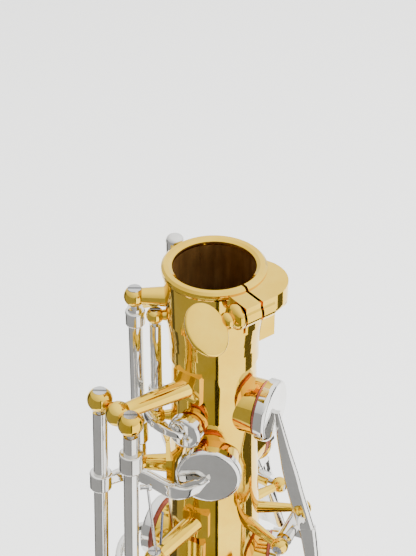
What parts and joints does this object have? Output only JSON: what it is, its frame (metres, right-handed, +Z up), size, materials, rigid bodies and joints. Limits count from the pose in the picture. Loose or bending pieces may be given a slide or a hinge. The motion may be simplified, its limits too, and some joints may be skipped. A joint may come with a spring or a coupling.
{
  "type": "alto saxophone body",
  "caption": "Alto saxophone body without its neck: conical lacquered tube, bow and bell, with sprung nickel keys, pads, posts, guards and a clamped neck receiver.",
  "frame": {"origin": "centre of the neck receiver's bore where its wall begins, just under the rounded lip", "axes": "+Z up along the body tube's axis and out of the receiver; -Y towards the bell; -X on the player's right"},
  "size_m": [0.1244, 0.2103, 0.5835],
  "materials": {
    "gold_lacquer": "mirror-polished brass under clear gold lacquer",
    "nickel_plate": "mirror nickel plate on brass",
    "rod_steel": "turned steel with slotted heads",
    "spring_steel": "blued spring steel",
    "pad_leather": "fine pigskin over felt",
    "felt": "dense felt",
    "black_plastic": "polished black plastic"
  },
  "bodies": {
    "root": {"neck_receiver": "gold_lacquer", "lyre_socket": "gold_lacquer", "body_tube": "gold_lacquer", "octave_vent_pip": "gold_lacquer", "bow": "gold_lacquer", "bell": "gold_lacquer", "bow_rings": "gold_lacquer", "bell_brace": "gold_lacquer", "upper_posts": "gold_lacquer", "octave_posts": "gold_lacquer", "lower_posts": "gold_lacquer", "bell_posts": "gold_lacquer", "hinge_rods": "rod_steel", "key_guards": "gold_lacquer", "guard_bumpers": "felt", "thumb_hook": "gold_lacquer", "thumb_rest": "black_plastic", "strap_ring": "gold_lacquer", "post_ribs": "gold_lacquer", "needle_springs": "spring_steel"},
    "clamp_screw": {"clamp_screw": "gold_lacquer"},
    "lyre_screw": {"lyre_screw": "gold_lacquer"},
    "palm_f": {"palm_f_key": "nickel_plate", "palm_f_pad": "pad_leather"},
    "palm_eb": {"palm_eb_key": "nickel_plate", "palm_eb_pad": "pad_leather"},
    "palm_d": {"palm_d_key": "nickel_plate", "palm_d_pad": "pad_leather"},
    "high_e": {"high_e_key": "nickel_plate", "high_e_pad": "pad_leather"},
    "high_fsharp": {"high_fsharp_key": "nickel_plate", "high_fsharp_pad": "pad_leather"},
    "side_c": {"side_c_key": "nickel_plate"},
    "side_bb": {"side_bb_key": "nickel_plate"},
    "octave_vent": {"octave_vent_key": "nickel_plate", "octave_vent_pad": "pad_leather"},
    "octave_pin": {"octave_pin_lever": "nickel_plate"},
    "octave_thumb": {"octave_thumb_lever": "nickel_plate"},
    "small_c": {"small_c_key": "nickel_plate"},
    "b_key": {"b_key": "nickel_plate"},
    "a_key": {"a_key": "nickel_plate"},
    "g_key": {"g_key": "nickel_plate"},
    "gsharp": {"gsharp_key": "nickel_plate"},
    "fsharp": {"fsharp_key": "nickel_plate"},
    "f_key": {"f_key": "nickel_plate"},
    "e_key": {"e_key": "nickel_plate"},
    "d_key": {"d_key": "nickel_plate"},
    "low_eb": {"low_eb_key": "nickel_plate"},
    "low_c": {"low_c_key": "nickel_plate"},
    "low_csharp": {"low_csharp_key": "nickel_plate"},
    "low_b": {"low_b_key": "nickel_plate"},
    "low_bb": {"low_bb_key": "nickel_plate"}
  },
  "joints": [
    {"name": "clamp_screw_turn", "type": "hinge", "parent": "root", "child": "clamp_screw", "pos_m": [0.0023, -0.01876, -0.0044], "axis": [0.9925, 0.1219, 0], "range_deg": [-180, 180]},
    {"name": "lyre_screw_turn", "type": "hinge", "parent": "root", "child": "lyre_screw", "pos_m": [0.01703, 0.00239, -0.021], "axis": [0.9903, 0.1392, 0], "range_deg": [-180, 180]},
    {"name": "palm_f_turn", "type": "hinge", "parent": "root", "child": "palm_f", "pos_m": [0.00771, -0.02757, -0.092], "axis": [0.8192, 0.5736, 0], "range_deg": [0, 6.44], "stiffness_Nm_per_rad": 0.05, "springref_deg": -45.84},
    {"name": "palm_eb_turn", "type": "hinge", "parent": "root", "child": "palm_eb", "pos_m": [0.02742, 0.00382, -0.1], "axis": [-0.4695, 0.8829, 0], "range_deg": [0, 11.94], "stiffness_Nm_per_rad": 0.05, "springref_deg": -45.84},
    {"name": "palm_d_turn", "type": "hinge", "parent": "root", "child": "palm_d", "pos_m": [0.01543, -0.02411, -0.142], "axis": [0.6157, 0.788, 0], "range_deg": [0, 10.61], "stiffness_Nm_per_rad": 0.05, "springref_deg": -45.84},
    {"name": "high_e_turn", "type": "hinge", "parent": "root", "child": "high_e", "pos_m": [-0.03692, 0.00323, -0.037], "axis": [-0.0284, 0.0025, -0.9996], "range_deg": [0, 8.75], "stiffness_Nm_per_rad": 0.05, "springref_deg": -45.84},
    {"name": "high_fsharp_turn", "type": "hinge", "parent": "root", "child": "high_fsharp", "pos_m": [-0.03429, -0.01114, -0.037], "axis": [0.0271, 0.0088, 0.9996], "range_deg": [0, 7.82], "stiffness_Nm_per_rad": 0.05, "springref_deg": -45.84},
    {"name": "side_c_turn", "type": "hinge", "parent": "root", "child": "side_c", "pos_m": [-0.02572, 0.01368, -0.152], "axis": [0.0252, -0.0134, 0.9996], "range_deg": [0, 18.07], "stiffness_Nm_per_rad": 0.05, "springref_deg": -45.84},
    {"name": "side_bb_turn", "type": "hinge", "parent": "root", "child": "side_bb", "pos_m": [-0.0309, 0.00713, -0.19], "axis": [0.0278, -0.0064, 0.9996], "range_deg": [0, 12.12], "stiffness_Nm_per_rad": 0.05, "springref_deg": -45.84},
    {"name": "octave_vent_turn", "type": "hinge", "parent": "root", "child": "octave_vent", "pos_m": [-0.01564, 0.00763, -0.017], "axis": [0, 0, -1], "range_deg": [0, 19.41], "stiffness_Nm_per_rad": 0.05, "springref_deg": -45.84},
    {"name": "octave_pin_turn", "type": "hinge", "parent": "root", "child": "octave_pin", "pos_m": [-0.01976, 0.01235, -0.0115], "axis": [0.0066, 0.011, 0.9999], "range_deg": [0, 6], "stiffness_Nm_per_rad": 0.05, "springref_deg": -40.11},
    {"name": "octave_thumb_turn", "type": "hinge", "parent": "root", "child": "octave_thumb", "pos_m": [0.00701, 0.02159, -0.084], "axis": [-0.0088, -0.0271, 0.9996], "range_deg": [0, 9], "stiffness_Nm_per_rad": 0.05, "springref_deg": -40.11},
    {"name": "small_c_turn", "type": "hinge", "parent": "root", "child": "small_c", "pos_m": [-0.02834, -0.01262, -0.092], "axis": [0.026, 0.0116, 0.9996], "range_deg": [0, 9.79], "stiffness_Nm_per_rad": 0.05, "springref_deg": -45.84},
    {"name": "b_key_turn", "type": "hinge", "parent": "root", "child": "b_key", "pos_m": [-0.02834, -0.01262, -0.092], "axis": [0.026, 0.0116, 0.9996], "range_deg": [0, 9.58], "stiffness_Nm_per_rad": 0.05, "springref_deg": -45.84},
    {"name": "a_key_turn", "type": "hinge", "parent": "root", "child": "a_key", "pos_m": [-0.02834, -0.01262, -0.092], "axis": [0.026, 0.0116, 0.9996], "range_deg": [0, 9.1], "stiffness_Nm_per_rad": 0.05, "springref_deg": -45.84},
    {"name": "g_key_turn", "type": "hinge", "parent": "root", "child": "g_key", "pos_m": [-0.02834, -0.01262, -0.092], "axis": [0.026, 0.0116, 0.9996], "range_deg": [0, 8.86], "stiffness_Nm_per_rad": 0.05, "springref_deg": -45.84},
    {"name": "gsharp_turn", "type": "hinge", "parent": "root", "child": "gsharp", "pos_m": [0.02813, -0.01372, -0.228], "axis": [-0.0256, 0.0125, 0.9996], "range_deg": [0, 16.04], "stiffness_Nm_per_rad": 0.05, "springref_deg": -45.84},
    {"name": "fsharp_turn", "type": "hinge", "parent": "root", "child": "fsharp", "pos_m": [-0.03221, -0.01571, -0.282], "axis": [0.0256, 0.0125, 0.9996], "range_deg": [0, 9.49], "stiffness_Nm_per_rad": 0.05, "springref_deg": -45.84},
    {"name": "f_key_turn", "type": "hinge", "parent": "root", "child": "f_key", "pos_m": [-0.03221, -0.01571, -0.282], "axis": [0.0256, 0.0125, 0.9996], "range_deg": [0, 9.03], "stiffness_Nm_per_rad": 0.05, "springref_deg": -45.84},
    {"name": "e_key_turn", "type": "hinge", "parent": "root", "child": "e_key", "pos_m": [-0.03221, -0.01571, -0.282], "axis": [0.0256, 0.0125, 0.9996], "range_deg": [0, 8.58], "stiffness_Nm_per_rad": 0.05, "springref_deg": -45.84},
    {"name": "d_key_turn", "type": "hinge", "parent": "root", "child": "d_key", "pos_m": [-0.03221, -0.01571, -0.282], "axis": [0.0256, 0.0125, 0.9996], "range_deg": [0, 8.31], "stiffness_Nm_per_rad": 0.05, "springref_deg": -45.84},
    {"name": "low_eb_turn", "type": "hinge", "parent": "root", "child": "low_eb", "pos_m": [-0.03371, 0.02828, -0.428], "axis": [0, 0, -1], "range_deg": [0, 10.57], "stiffness_Nm_per_rad": 0.09, "springref_deg": -45.84},
    {"name": "low_c_turn", "type": "hinge", "parent": "root", "child": "low_c", "pos_m": [-0.0246, 0.03648, -0.428], "axis": [0, 0, 1], "range_deg": [0, 4.47], "stiffness_Nm_per_rad": 0.09, "springref_deg": -45.84},
    {"name": "low_csharp_turn", "type": "hinge", "parent": "root", "child": "low_csharp", "pos_m": [0.047, -0.052, -0.288], "axis": [0, 0, 1], "range_deg": [0, 6.36], "stiffness_Nm_per_rad": 0.09, "springref_deg": -45.84},
    {"name": "low_b_turn", "type": "hinge", "parent": "root", "child": "low_b", "pos_m": [0.032, -0.047, -0.292], "axis": [0, 0, 1], "range_deg": [0, 5.03], "stiffness_Nm_per_rad": 0.09, "springref_deg": -45.84},
    {"name": "low_bb_turn", "type": "hinge", "parent": "root", "child": "low_bb", "pos_m": [0.022, -0.052, -0.292], "axis": [0, 0, 1], "range_deg": [0, 5.51], "stiffness_Nm_per_rad": 0.09, "springref_deg": -45.84}
  ],
  "couplings": [
    {"joint": "fsharp_turn", "follows": "f_key_turn", "ratio": 1.0487},
    {"joint": "small_c_turn", "follows": "b_key_turn", "ratio": 1.0192},
    {"joint": "octave_pin_turn", "follows": "octave_thumb_turn", "ratio": 0.66533}
  ]
}
